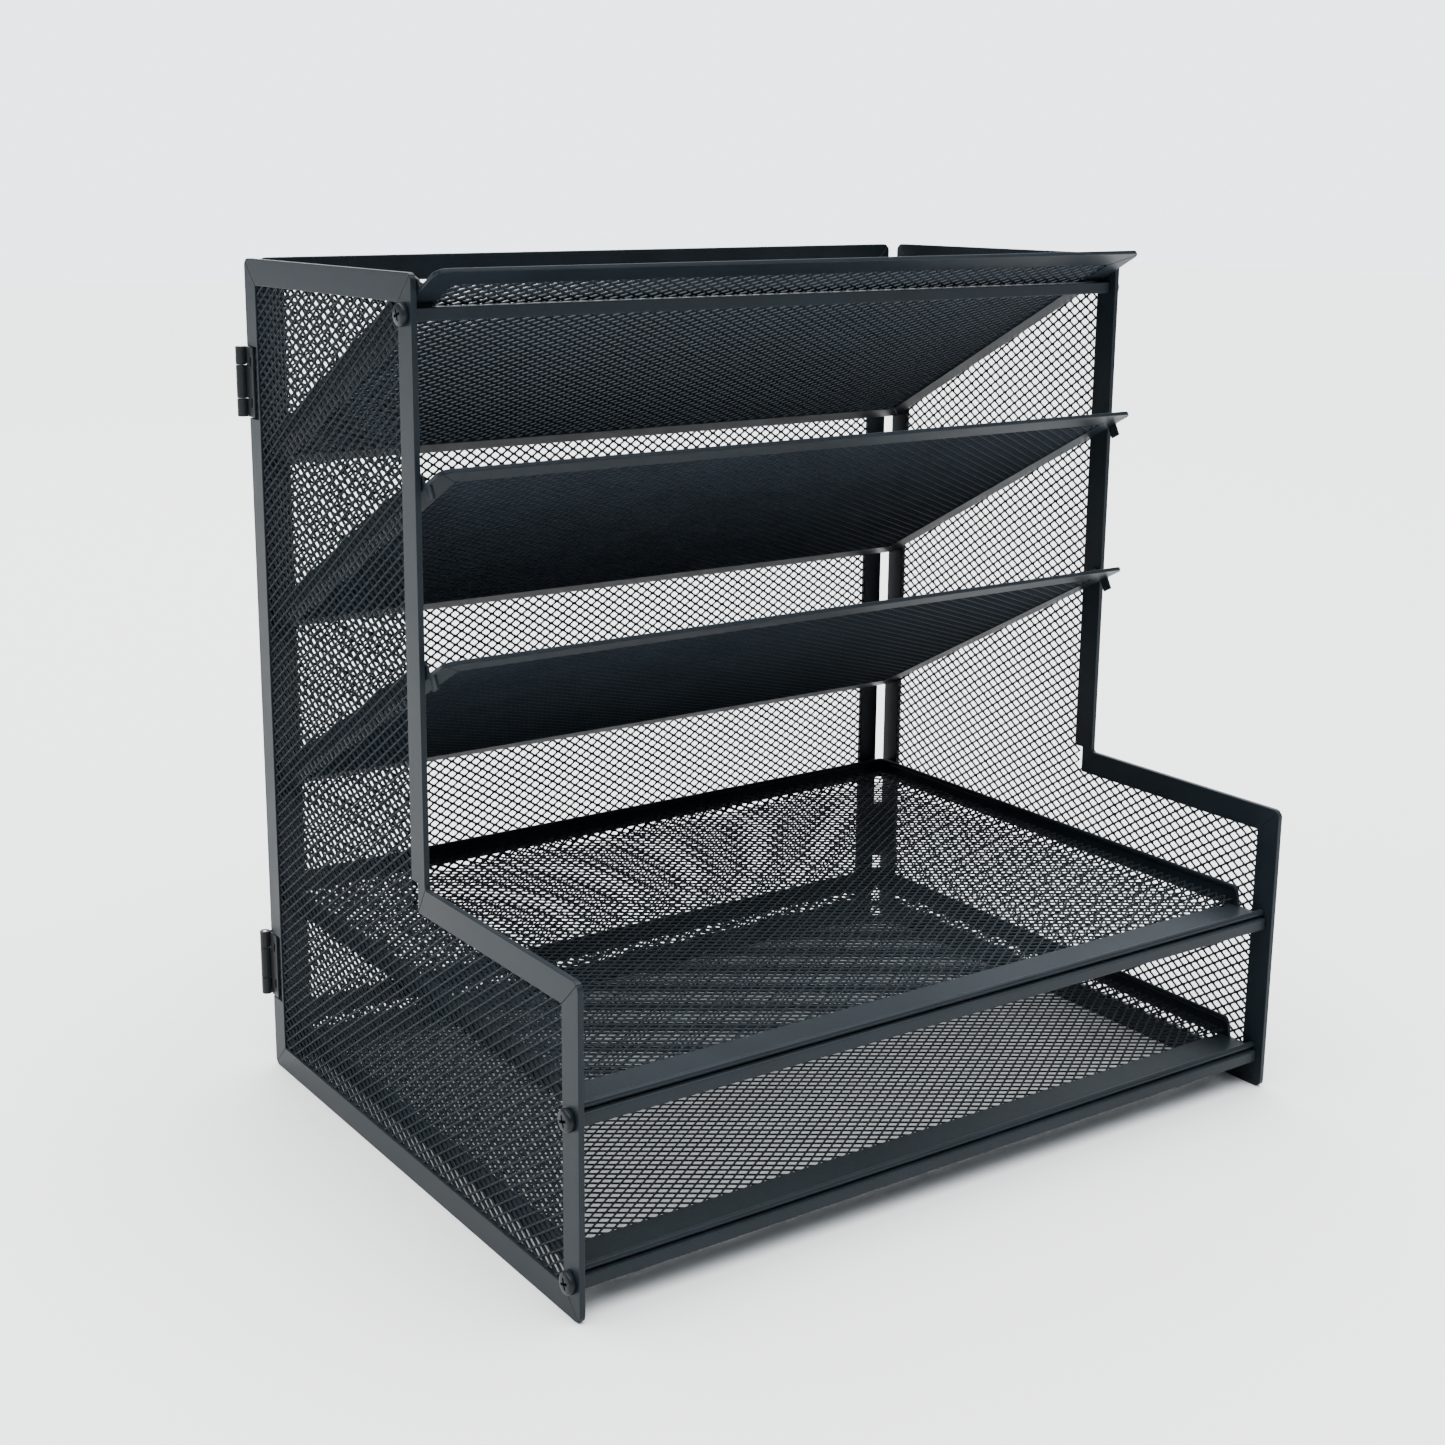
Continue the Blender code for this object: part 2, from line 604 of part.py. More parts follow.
def add_hinge(side, sign, level, height, hinge_empty):
    """Corner hinge: a leaf let into the side panel, a leaf on the back panel, and a pin."""
    half = HINGE_HEIGHT / 2
    middle = MIDDLE_KNUCKLE / 2
    name = f"{side}_{level}_hinge"

    slots = [slot_outline(SLOT_INSET, y) for y in (-SLOT_SPACING / 2, SLOT_SPACING / 2)]
    side_shape = plate_mesh("side_leaf", [side_leaf_outline(), *slots], LEAF)
    place = (sign * (WIDTH / 2 - LEAF / 2), REAR_Y, height)
    side_leaf = add_object(name + "_side_leaf", side_shape, place, PANEL_TURN, hinge_empty)
    add_knuckle(side_leaf, height - middle, height + middle, sign)
    cut_bore(side_leaf, height, sign)
    finish_piece(side_leaf)

    back_shape = plate_mesh("back_leaf", [back_leaf_outline(sign)], LEAF)
    place = (sign * AXIS_X, BACK_FRONT_Y + SHEET + FIT_GAP + LEAF / 2, height)
    back_leaf = add_object(name + "_back_leaf", back_shape, place, BACK_TURN)
    add_knuckle(back_leaf, height + middle + FIT_GAP, height + half, sign)
    add_knuckle(back_leaf, height - half, height - middle - FIT_GAP, sign)
    cut_bore(back_leaf, height, sign)
    finish_piece(back_leaf)

    pin_mesh = rod_mesh("hinge_pin", PIN_RADIUS, HINGE_HEIGHT)
    pin = add_object(name + "_pin", pin_mesh, (sign * AXIS_X, AXIS_Y, height))
    finish_piece(pin, ZINC, ZINC_ROUGHNESS, metallic=1)
    smooth(pin)


# ---------------------------------------------------------------- assembly


def main():
    start_scene()
    add_back_panel()
    add_shelves()
    add_tray("upper", UPPER_TRAY_BAR[1])
    add_tray("lower", LOWER_TRAY_BAR[1])
    for name, (bar_y, bar_z) in BARS.items():
        add_crossbar(name, bar_y, bar_z)
    for side, sign in SIDES.items():
        hinge_empty = bpy.data.objects.new(side + "_hinge_axis", None)
        bpy.data.collections["desktop_file_sorter"].objects.link(hinge_empty)
        hinge_empty.location = (sign * AXIS_X, AXIS_Y, 0)
        add_side_panel(side, sign, hinge_empty)
        for name, (bar_y, bar_z) in BARS.items():
            add_screw(side, sign, name, bar_y, bar_z, hinge_empty)
        for level, height in HINGE_HEIGHTS.items():
            add_hinge(side, sign, level, height, hinge_empty)


main()
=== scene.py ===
"""The desktop file sorter's looks: expanded-metal lattices, folded strips, hinges and screws.

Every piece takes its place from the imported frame, in metres, +Z up and the front at -Y.
"""

import math

import bmesh
import bpy
from mathutils import Matrix, Vector


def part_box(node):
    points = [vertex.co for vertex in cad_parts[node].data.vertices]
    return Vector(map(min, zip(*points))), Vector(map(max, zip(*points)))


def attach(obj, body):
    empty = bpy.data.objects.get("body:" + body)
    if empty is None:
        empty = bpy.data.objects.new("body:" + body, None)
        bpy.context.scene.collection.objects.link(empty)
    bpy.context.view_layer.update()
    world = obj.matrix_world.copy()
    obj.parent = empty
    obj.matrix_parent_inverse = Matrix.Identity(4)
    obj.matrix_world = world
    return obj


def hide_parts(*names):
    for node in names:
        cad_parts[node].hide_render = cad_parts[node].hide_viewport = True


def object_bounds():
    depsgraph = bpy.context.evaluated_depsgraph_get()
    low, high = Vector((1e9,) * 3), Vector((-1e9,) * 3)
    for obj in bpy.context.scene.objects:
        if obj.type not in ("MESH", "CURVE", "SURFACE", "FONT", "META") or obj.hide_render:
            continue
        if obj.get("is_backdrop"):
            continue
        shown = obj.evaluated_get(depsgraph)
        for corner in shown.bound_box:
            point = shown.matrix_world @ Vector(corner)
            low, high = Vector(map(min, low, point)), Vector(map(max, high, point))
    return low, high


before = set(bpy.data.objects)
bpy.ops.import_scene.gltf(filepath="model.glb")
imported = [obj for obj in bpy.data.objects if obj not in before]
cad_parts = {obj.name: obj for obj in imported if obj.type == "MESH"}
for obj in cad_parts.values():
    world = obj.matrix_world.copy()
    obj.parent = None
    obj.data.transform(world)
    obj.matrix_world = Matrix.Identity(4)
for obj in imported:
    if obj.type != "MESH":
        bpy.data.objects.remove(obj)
CAD_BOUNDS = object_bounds()

MM = 0.001
SIDES = {"left": -1, "right": 1}
BARS = ("top", "upper_tray", "lower_tray")
LEVELS = ("top", "middle", "bottom")

# Expanded metal
PITCH = (6.25 * MM, 4.2 * MM)  # long and short diagonals of a diamond
BACK_PITCH = (5.85 * MM, 3.75 * MM)
STRAND = 0.92 * MM
LATTICE_DEPTH = 1.3 * MM
TRAY_LATTICE_DEPTH = 0.8 * MM
JUNCTION_CUT = 0.2  # share of a hole's edge given up to the blunt tips of its long diagonal
LATTICE_TUCK = 2 * MM  # lattice hidden between the two layers of a strip

# Folded strips
STRIP = 10 * MM
STRIP_EDGE = 0.5 * MM
CORNER_RADIUS = 3 * MM
STEP_RADIUS = 1.5 * MM
STEP_NOTCH = 4.5 * MM
STEP_NOTCH_RISE = 1 * MM
ARC_STEPS = 6
RECESS_DEPTH = 1.2 * MM
RECESS_REACH = 8.8 * MM
RECESS_GAP = 0.3 * MM  # above and below the leaf
RECESS_OVERRUN = 2 * MM  # cut beyond the rear edge
SCREW_HOLE_RADIUS = 1.7 * MM
HOLE_OVERRUN = 1 * MM


# ---------------------------------------------------------------- helpers


def low(node):
    """Lowest corner of a CAD node at rest."""
    return Vector(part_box(node)[0])


def high(node):
    """Highest corner of a CAD node at rest."""
    return Vector(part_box(node)[1])


def middle(node):
    """Middle of a CAD node's box at rest."""
    return (low(node) + high(node)) / 2


def link(name, mesh):
    """Adds a mesh to the scene as an object at the origin."""
    piece = bpy.data.objects.new(name, mesh)
    bpy.context.scene.collection.objects.link(piece)
    return piece


def from_bmesh(name, shape):
    """Turns a finished bmesh into a linked object."""
    mesh = bpy.data.meshes.new(name)
    shape.to_mesh(mesh)
    shape.free()
    return link(name, mesh)


def settle(piece):
    """Applies a piece's modifiers, so that what they used can be removed."""
    evaluated = piece.evaluated_get(bpy.context.evaluated_depsgraph_get())
    piece.data = bpy.data.meshes.new_from_object(evaluated)
    piece.modifiers.clear()
    return piece


def round_edges(piece, width, segments=3, angle=40):
    """Rounds a piece's sharp edges and shades it smoothly."""
    piece.data.shade_smooth()
    bevel = piece.modifiers.new("edges", "BEVEL")
    bevel.width = width
    bevel.segments = segments
    bevel.limit_method = "ANGLE"
    bevel.angle_limit = math.radians(angle)
    bevel.harden_normals = True
    return settle(piece)


def cut(piece, *cutters):
    """Cuts closed shapes out of a piece and removes them."""
    for cutter in cutters:
        boolean = piece.modifiers.new("cut", "BOOLEAN")
        boolean.operation = "DIFFERENCE"
        boolean.solver = "EXACT"
        boolean.object = cutter
    settle(piece)
    for cutter in cutters:
        bpy.data.objects.remove(cutter)
    return piece


def join(piece, *others):
    """Moves other pieces' meshes into one piece."""
    shape = bmesh.new()
    shape.from_mesh(piece.data)
    for other in others:
        shape.from_mesh(other.data)
        bpy.data.objects.remove(other)
    shape.to_mesh(piece.data)
    shape.free()
    return piece


def finish(piece, node, body, material):
    """Rides a piece on its body in place of a CAD node, with its material."""
    piece.data.materials.clear()
    piece.data.materials.append(material)
    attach(piece, body)
    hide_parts(node)
    return piece


def add_box(shape, low_corner, high_corner):
    """Adds a box between two corners to a bmesh."""
    size = Vector(high_corner) - Vector(low_corner)
    centre = (Vector(high_corner) + Vector(low_corner)) / 2
    matrix = Matrix.Translation(centre) @ Matrix.Diagonal((*size, 1))
    return bmesh.ops.create_cube(shape, size=1, matrix=matrix)["verts"]


def add_rod(shape, start, end, radius, segments=32):
    """Adds a round rod between two points to a bmesh."""
    axis = Vector(end) - Vector(start)
    turn = axis.to_track_quat("Z", "Y").to_matrix().to_4x4()
    matrix = Matrix.Translation((Vector(start) + Vector(end)) / 2) @ turn
    made = bmesh.ops.create_cone(
        shape, cap_ends=True, segments=segments, radius1=radius, radius2=radius,
        depth=axis.length, matrix=matrix,
    )
    return made["verts"]


def rod(name, start, end, radius, segments=32):
    """A round rod between two points."""
    shape = bmesh.new()
    add_rod(shape, start, end, radius, segments)
    return from_bmesh(name, shape)


def box(name, low_corner, high_corner):
    """A box between two corners."""
    shape = bmesh.new()
    add_box(shape, low_corner, high_corner)
    return from_bmesh(name, shape)


# ---------------------------------------------------------------- materials


def powder_coat(name, colour, roughness, peel):
    """Satin powder coat: faint mottling, orange peel, and a little dust with a painted highlight on
    what faces up.
    """
    material = bpy.data.materials.new(name)
    material.use_nodes = True
    nodes = material.node_tree.nodes
    wire = material.node_tree.links.new
    shader = nodes["Principled BSDF"]
    shader.inputs["IOR"].default_value = 1.5
    shader.inputs["Specular IOR Level"].default_value = 0.12
    place = nodes.new("ShaderNodeTexCoord")

    mottle = nodes.new("ShaderNodeTexNoise")
    mottle.inputs["Scale"].default_value = 45
    mottle.inputs["Detail"].default_value = 6
    wire(place.outputs["Object"], mottle.inputs["Vector"])
    tones = nodes.new("ShaderNodeValToRGB")
    tones.color_ramp.elements[0].position = 0.3
    tones.color_ramp.elements[0].color = (*[c * 0.82 for c in colour], 1)
    tones.color_ramp.elements[1].position = 0.75
    tones.color_ramp.elements[1].color = (*[c * 1.2 for c in colour], 1)
    wire(mottle.outputs["Fac"], tones.inputs["Fac"])

    # Dust and painted highlight: faces that point up are mixed towards light grey, partly real dust
    # and partly painted light on top edges.
    shape = nodes.new("ShaderNodeNewGeometry")
    facing = nodes.new("ShaderNodeSeparateXYZ")
    wire(shape.outputs["Normal"], facing.inputs["Vector"])
    specks = nodes.new("ShaderNodeTexNoise")
    specks.inputs["Scale"].default_value = 700
    specks.inputs["Detail"].default_value = 3
    wire(place.outputs["Object"], specks.inputs["Vector"])
    upward_dust_and_highlight = nodes.new("ShaderNodeMapRange")
    upward_dust_and_highlight.inputs["From Min"].default_value = 0.45
    upward_dust_and_highlight.inputs["From Max"].default_value = 1.0
    upward_dust_and_highlight.inputs["To Max"].default_value = 0.07
    wire(facing.outputs["Z"], upward_dust_and_highlight.inputs["Value"])
    specked_dust_and_highlight = nodes.new("ShaderNodeMath")
    specked_dust_and_highlight.operation = "MULTIPLY"
    wire(upward_dust_and_highlight.outputs["Result"], specked_dust_and_highlight.inputs[0])
    wire(specks.outputs["Fac"], specked_dust_and_highlight.inputs[1])
    mix = nodes.new("ShaderNodeMix")
    mix.data_type = "RGBA"
    mix.inputs[7].default_value = (0.16, 0.17, 0.17, 1)
    wire(specked_dust_and_highlight.outputs["Value"], mix.inputs[0])
    wire(tones.outputs["Color"], mix.inputs[6])
    wire(mix.outputs[2], shader.inputs["Base Color"])

    sheen = nodes.new("ShaderNodeMapRange")
    sheen.inputs["To Min"].default_value = roughness - 0.06
    sheen.inputs["To Max"].default_value = roughness + 0.08
    wire(mottle.outputs["Fac"], sheen.inputs["Value"])
    wire(sheen.outputs["Result"], shader.inputs["Roughness"])

    peel_noise = nodes.new("ShaderNodeTexNoise")
    peel_noise.inputs["Scale"].default_value = 1400
    peel_noise.inputs["Detail"].default_value = 2
    wire(place.outputs["Object"], peel_noise.inputs["Vector"])
    bump = nodes.new("ShaderNodeBump")
    bump.inputs["Strength"].default_value = peel
    bump.inputs["Distance"].default_value = 0.05 * MM
    wire(peel_noise.outputs["Fac"], bump.inputs["Height"])
    wire(bump.outputs["Normal"], shader.inputs["Normal"])
    return material


def bright_steel(name):
    """Drawn steel of the hinge pins, with fine scratches along its length."""
    material = bpy.data.materials.new(name)
    material.use_nodes = True
    nodes = material.node_tree.nodes
    wire = material.node_tree.links.new
    shader = nodes["Principled BSDF"]
    shader.inputs["Metallic"].default_value = 1
    place = nodes.new("ShaderNodeTexCoord")
    stretch = nodes.new("ShaderNodeMapping")
    stretch.inputs["Scale"].default_value = (4000, 4000, 150)
    wire(place.outputs["Object"], stretch.inputs["Vector"])
    scratches = nodes.new("ShaderNodeTexNoise")
    scratches.inputs["Scale"].default_value = 1
    wire(stretch.outputs["Vector"], scratches.inputs["Vector"])
    tones = nodes.new("ShaderNodeValToRGB")
    tones.color_ramp.elements[0].color = (0.30, 0.31, 0.32, 1)
    tones.color_ramp.elements[1].color = (0.52, 0.53, 0.54, 1)
    wire(scratches.outputs["Fac"], tones.inputs["Fac"])
    wire(tones.outputs["Color"], shader.inputs["Base Color"])
    sheen = nodes.new("ShaderNodeMapRange")
    sheen.inputs["To Min"].default_value = 0.25
    sheen.inputs["To Max"].default_value = 0.42
    wire(scratches.outputs["Fac"], sheen.inputs["Value"])
    wire(sheen.outputs["Result"], shader.inputs["Roughness"])
    return material


FRAME_COAT = powder_coat("frame_coat", (0.008, 0.012, 0.0155), 0.42, 0.35)
MESH_COAT = powder_coat("mesh_coat", (0.007, 0.011, 0.015), 0.45, 0.2)
HINGE_COAT = powder_coat("hinge_coat", (0.012, 0.014, 0.015), 0.38, 0.3)
SCREW_COAT = powder_coat("screw", (0.008, 0.011, 0.013), 0.32, 0.15)
PIN_STEEL = bright_steel("hinge_pin")


# ---------------------------------------------------------------- flat outlines


def arc_halves(corner, before, after, radius):
    """The rounded corner's arc in two halves, which meet on the mitre line."""
    if radius == 0:
        return [corner], [corner]
    to_before = (before - corner).normalized()
    to_after = (after - corner).normalized()
    half_angle = to_before.angle(to_after) / 2
    centre = corner + (to_before + to_after).normalized() * radius / math.sin(half_angle)
    first = corner + to_before * radius / math.tan(half_angle) - centre
    last = corner + to_after * radius / math.tan(half_angle) - centre
    start = math.atan2(first.y, first.x)
    turn = (math.atan2(last.y, last.x) - start + math.pi) % (2 * math.pi) - math.pi
    points = []
    for step in range(ARC_STEPS + 1):
        angle = start + turn * step / ARC_STEPS
        points.append(centre + radius * Vector((math.cos(angle), math.sin(angle))))
    half = ARC_STEPS // 2
    return points[: half + 1], points[half:]


def strips(outer, inner):
    """Outlines of the mitred strips between an outer and an inner outline.

    outer holds (x, y, radius) and inner (x, y) of the same corners; an inner corner may be
    a pair of points, whose first ends one strip and whose second starts the next.
    """
    corners = [Vector(corner[:2]) for corner in outer]
    count = len(outer)
    arcs = [
        arc_halves(corners[i], corners[i - 1], corners[(i + 1) % count], outer[i][2])
        for i in range(count)
    ]
    outlines = []
    for i in range(count):
        j = (i + 1) % count
        ends = inner[j] if isinstance(inner[j][0], tuple) else (inner[j], inner[j])
        starts = inner[i] if isinstance(inner[i][0], tuple) else (inner[i], inner[i])
        outline = arcs[i][1] + arcs[j][0] + [Vector(ends[0]), Vector(starts[1])]
        outlines.append(outline)
    return outlines


def prism(shape, outline, place, near, far):
    """Adds a closed prism over a 2D outline between two depths; place maps (u, v, depth)."""
    bottom = [shape.verts.new(place(point.x, point.y, near)) for point in outline]
    top = [shape.verts.new(place(point.x, point.y, far)) for point in outline]
    shape.faces.new(bottom)
    shape.faces.new(reversed(top))
    for i in range(len(outline)):
        j = (i + 1) % len(outline)
        shape.faces.new((bottom[i], top[i], top[j], bottom[j]))


def strip_frame(name, outlines, place, near, far):
    """A frame of separate mitred strips."""
    shape = bmesh.new()
    for outline in outlines:
        prism(shape, outline, place, near, far)
    bmesh.ops.recalc_face_normals(shape, faces=shape.faces)
    return from_bmesh(name, shape)


# ---------------------------------------------------------------- expanded metal


def lattice(name, inside, u_range, v_range, place, pitch=PITCH, thickness=LATTICE_DEPTH):
    """Expanded metal over the diamonds whose middles are inside; place maps (u, v, depth).

    Each strand has a ridge on either face, so smooth shading shows it as rounded.
    """
    half_u = pitch[0] / 2
    half_v = pitch[1] / 2
    inradius = half_u * half_v / math.hypot(half_u, half_v)
    hole = 1 - STRAND / 2 / inradius
    depth = thickness / 2
    verts = []
    faces = []
    junctions = {}

    def junction(i, j):
        """Front and back vertices where four strands meet."""
        if (i, j) not in junctions:
            junctions[i, j] = len(verts)
            u = u_range[0] + i * half_u
            v = v_range[0] + j * half_v
            verts.append(place(u, v, depth))
            verts.append(place(u, v, -depth))
        return junctions[i, j]

    columns = int((u_range[1] - u_range[0]) / half_u) + 2
    rows = int((v_range[1] - v_range[0]) / half_v) + 2
    around = ((1, 0), (0, 1), (-1, 0), (0, -1))
    for i in range(columns):
        for j in range(i % 2, rows, 2):
            u = u_range[0] + i * half_u
            v = v_range[0] + j * half_v
            if not inside(u, v):
                continue
            corners = [junction(i + di, j + dj) for di, dj in around]
            tips = [Vector((di * half_u * hole, dj * half_v * hole)) for di, dj in around]
            rim = []  # for each tip, the hole's vertices where its edge arrives and leaves
            for k in range(4):
                ends = (tips[k - 1], tips[(k + 1) % 4]) if k % 2 == 0 else (tips[k],)
                rim.append((len(verts), len(verts) + len(ends) - 1))
                for other in ends:
                    point = tips[k].lerp(other, JUNCTION_CUT)
                    verts.append(place(u + point.x, v + point.y, 0))
            for k in range(4):
                here = corners[k]
                there = corners[(k + 1) % 4]
                arrive, leave = rim[k]
                beyond = rim[(k + 1) % 4][0]
                faces.append((here, there, beyond, leave))
                faces.append((there + 1, here + 1, leave, beyond))
                if arrive != leave:
                    faces.append((here, leave, arrive))
                    faces.append((here + 1, arrive, leave))
    mesh = bpy.data.meshes.new(name)
    mesh.from_pydata([tuple(v) for v in verts], [], faces)
    shape = bmesh.new()
    shape.from_mesh(mesh)
    bmesh.ops.recalc_face_normals(shape, faces=shape.faces)
    shape.to_mesh(mesh)
    shape.free()
    mesh.shade_smooth()
    return link(name, mesh)


# ---------------------------------------------------------------- panels


def hinge_recesses(side, outside, rear):
    """Cutters of the shallow recesses that the hinges' side leaves lie in."""
    recesses = []
    for level in ("upper", "lower"):
        leaf = f"{side}_{level}_hinge_side_leaf"
        recess_low = (outside - RECESS_DEPTH, rear - RECESS_REACH, low(leaf).z - RECESS_GAP)
        recess_high = (outside + RECESS_DEPTH, rear + RECESS_OVERRUN, high(leaf).z + RECESS_GAP)
        recesses.append(box("recess", recess_low, recess_high))
    return recesses


def screw_holes(side, names, start_x, end_x):
    """Cutters of the holes that the named screws pass through."""
    holes = []
    for name in names:
        centre = middle(f"{side}_{name}_screw")
        start = Vector((start_x, centre.y, centre.z))
        end = Vector((end_x, centre.y, centre.z))
        holes.append(rod("hole", start, end, SCREW_HOLE_RADIUS))
    return holes


def side_panel(side, sign):
    """Side frame with hinge recesses, and the lattice held in it."""
    node = side + "_side_frame"
    body = side + "_side"
    rear = high(node).y
    top = high(node).z
    lower_depth = rear - low(node).y
    upper_depth, step_height = step_of(side)
    outside = sign * max(abs(low(node).x), abs(high(node).x))
    inside_x = sign * min(abs(low(node).x), abs(high(node).x))

    def place(forward, up, x):
        return Vector((x, rear - forward, up))

    outer = [
        (0, 0, CORNER_RADIUS),
        (lower_depth, 0, CORNER_RADIUS),
        (lower_depth, step_height, CORNER_RADIUS),
        (upper_depth, step_height, STEP_RADIUS),
        (upper_depth, top, CORNER_RADIUS),
        (0, top, CORNER_RADIUS),
    ]
    notch_front = upper_depth - STRIP + STEP_NOTCH
    notch_roof = step_height + STEP_NOTCH_RISE
    notch = ((notch_front, step_height - STRIP), (upper_depth - STRIP, notch_roof))
    inner = [
        (STRIP, STRIP),
        (lower_depth - STRIP, STRIP),
        (lower_depth - STRIP, step_height - STRIP),
        notch,
        (upper_depth - STRIP, top - STRIP),
        (STRIP, top - STRIP),
    ]
    outlines = strips(outer, inner)
    outlines[3] += [Vector((notch_front, notch_roof)), Vector(notch[0])]
    rear_strip = strip_frame(side + "_rear_strip", outlines[5:], place, outside, inside_x)
    cut(rear_strip, *hinge_recesses(side, outside, rear))
    hole_start = inside_x - sign * HOLE_OVERRUN
    hole_end = outside + sign * HOLE_OVERRUN
    front_strips = []
    for index, names in ((1, ("upper_tray", "lower_tray")), (3, ("top",))):
        strip = strip_frame(side + "_front_strip", [outlines[index]], place, outside, inside_x)
        front_strips.append(cut(strip, *screw_holes(side, names, hole_start, hole_end)))
    plain = [outlines[0], outlines[2], outlines[4]]
    piece = strip_frame(side + "_side_strips", plain, place, outside, inside_x)
    join(piece, rear_strip, *front_strips)
    round_edges(piece, STRIP_EDGE)
    finish(piece, node, body, FRAME_COAT)

    tuck = STRIP - LATTICE_TUCK

    def inside(forward, up):
        below = tuck < up < step_height - tuck and tuck < forward < lower_depth - tuck
        above = tuck < up < top - tuck and tuck < forward < upper_depth - tuck
        return below or above

    middle_x = (outside + inside_x) / 2

    def lattice_place(forward, up, depth):
        return Vector((middle_x + sign * depth, rear - forward, up))

    mesh = lattice(side + "_side_lattice", inside, (0, lower_depth), (0, top), lattice_place)
    finish(mesh, side + "_side_mesh", body, MESH_COAT)


def step_of(side):
    """Where the upper front edge meets the step: forward of the rear edge, and up."""
    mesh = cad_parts[side + "_side_frame"].data
    rear = high(side + "_side_frame").y
    top = high(side + "_side_frame").z
    upper = [rear - v.co.y for v in mesh.vertices if v.co.z > top / 2]
    front = [v.co.z for v in mesh.vertices if rear - v.co.y > max(upper) + STRIP]
    return max(upper), max(front)


def back_panel():
    """Back frame and its lattice."""
    node = "back_frame"
    half = high(node).x
    top = high(node).z

    def place(x, z, y):
        return Vector((x, y, z))

    outer = [
        (-half, 0, CORNER_RADIUS),
        (half, 0, CORNER_RADIUS),
        (half, top, CORNER_RADIUS),
        (-half, top, CORNER_RADIUS),
    ]
    edge = half - STRIP
    inner = [(-edge, STRIP), (edge, STRIP), (edge, top - STRIP), (-edge, top - STRIP)]
    piece = strip_frame("back_strips", strips(outer, inner), place, low(node).y, high(node).y)
    round_edges(piece, STRIP_EDGE)
    finish(piece, node, "back", FRAME_COAT)

    tuck = STRIP - LATTICE_TUCK
    middle_y = middle(node).y

    def inside(x, z):
        return abs(x) < half - tuck and tuck < z < top - tuck

    def lattice_place(x, z, depth):
        return Vector((x, middle_y + depth, z))

    mesh = lattice("back_lattice", inside, (-half, half), (0, top), lattice_place, BACK_PITCH)
    finish(mesh, "back_mesh", "back", MESH_COAT)


# ---------------------------------------------------------------- shelves

SHELF_SLOPE = math.radians(28.3)
SHELF_HEM = 1.6 * MM
SHELF_CORNER = 4 * MM
FLANGE_SHEET = 1.2 * MM
FLANGE_HEIGHT = 5.5 * MM
FLANGE_INSET = 0.2 * MM
FLANGE_START = 14.2 * MM  # behind the front edge
TAB_START = 10 * MM
TAB_WIDTH = 4.2 * MM
TAB_DROP = 5 * MM  # below the hem
SHELF_EDGE = 0.4 * MM


def flange_outline(length):
    """Side of a shelf's flange, with its front top corner cut off, as (back, lift)."""
    return [
        Vector((length, -SHELF_HEM / 2)),
        Vector((FLANGE_START, -SHELF_HEM / 2)),
        Vector((FLANGE_START, FLANGE_HEIGHT * 0.55)),
        Vector((FLANGE_START + FLANGE_HEIGHT * 0.45, FLANGE_HEIGHT)),
        Vector((length, FLANGE_HEIGHT)),
    ]


def tab_outline():
    """Side of the small tab under a shelf's front corner, as (back, lift)."""
    return [
        Vector((TAB_START, -SHELF_HEM / 2)),
        Vector((TAB_START + TAB_WIDTH, -SHELF_HEM / 2)),
        Vector((TAB_START + TAB_WIDTH, -SHELF_HEM - TAB_DROP)),
        Vector((TAB_START, -SHELF_HEM - TAB_DROP)),
    ]


def shelf(level):
    """Sloping pocket shelf: hemmed border, side flanges and lattice."""
    node = level + "_shelf_frame"
    half = high(node).x
    front = low(node).y
    rim = high(node).z
    slope = Matrix.Rotation(-SHELF_SLOPE, 3, "X")
    base = low(node).z
    fall = rim - base - SHELF_HEM * math.cos(SHELF_SLOPE)
    length = fall / math.sin(SHELF_SLOPE)
    rim_corner = Vector((0, front, rim))

    def place(x, back, lift):
        """x across, back up the length from the front edge, lift off the top face."""
        return rim_corner + slope @ Vector((x, back, lift))

    outer = [(-half, 0, SHELF_CORNER), (half, 0, SHELF_CORNER), (half, length, 0), (-half, length, 0)]
    edge = half - STRIP
    inner = [(-edge, STRIP), (edge, STRIP), (edge, length - STRIP), (-edge, length - STRIP)]
    piece = strip_frame(level + "_shelf_strips", strips(outer, inner), place, -SHELF_HEM, 0)
    shape = bmesh.new()
    shape.from_mesh(piece.data)
    sides = [flange_outline(length)]
    if level != "top":
        sides.append(tab_outline())
    for sign in (-1, 1):
        wall = sign * (half - FLANGE_INSET)
        for outline in sides:
            prism(
                shape, outline, lambda back, lift, x: place(x, back, lift),
                wall, wall - sign * FLANGE_SHEET,
            )
    bmesh.ops.recalc_face_normals(shape, faces=shape.faces)
    shape.to_mesh(piece.data)
    shape.free()
    round_edges(piece, SHELF_EDGE)
    finish(piece, node, "back", FRAME_COAT)

    tuck = STRIP - LATTICE_TUCK

    def inside(x, back):
        return abs(x) < half - tuck and tuck < back < length - tuck

    def lattice_place(x, back, depth):
        return place(x, back, depth - SHELF_HEM / 2)

    mesh = lattice(level + "_shelf_lattice", inside, (-half, half), (0, length), lattice_place)
    finish(mesh, level + "_shelf_mesh", "back", MESH_COAT)


# ---------------------------------------------------------------- trays

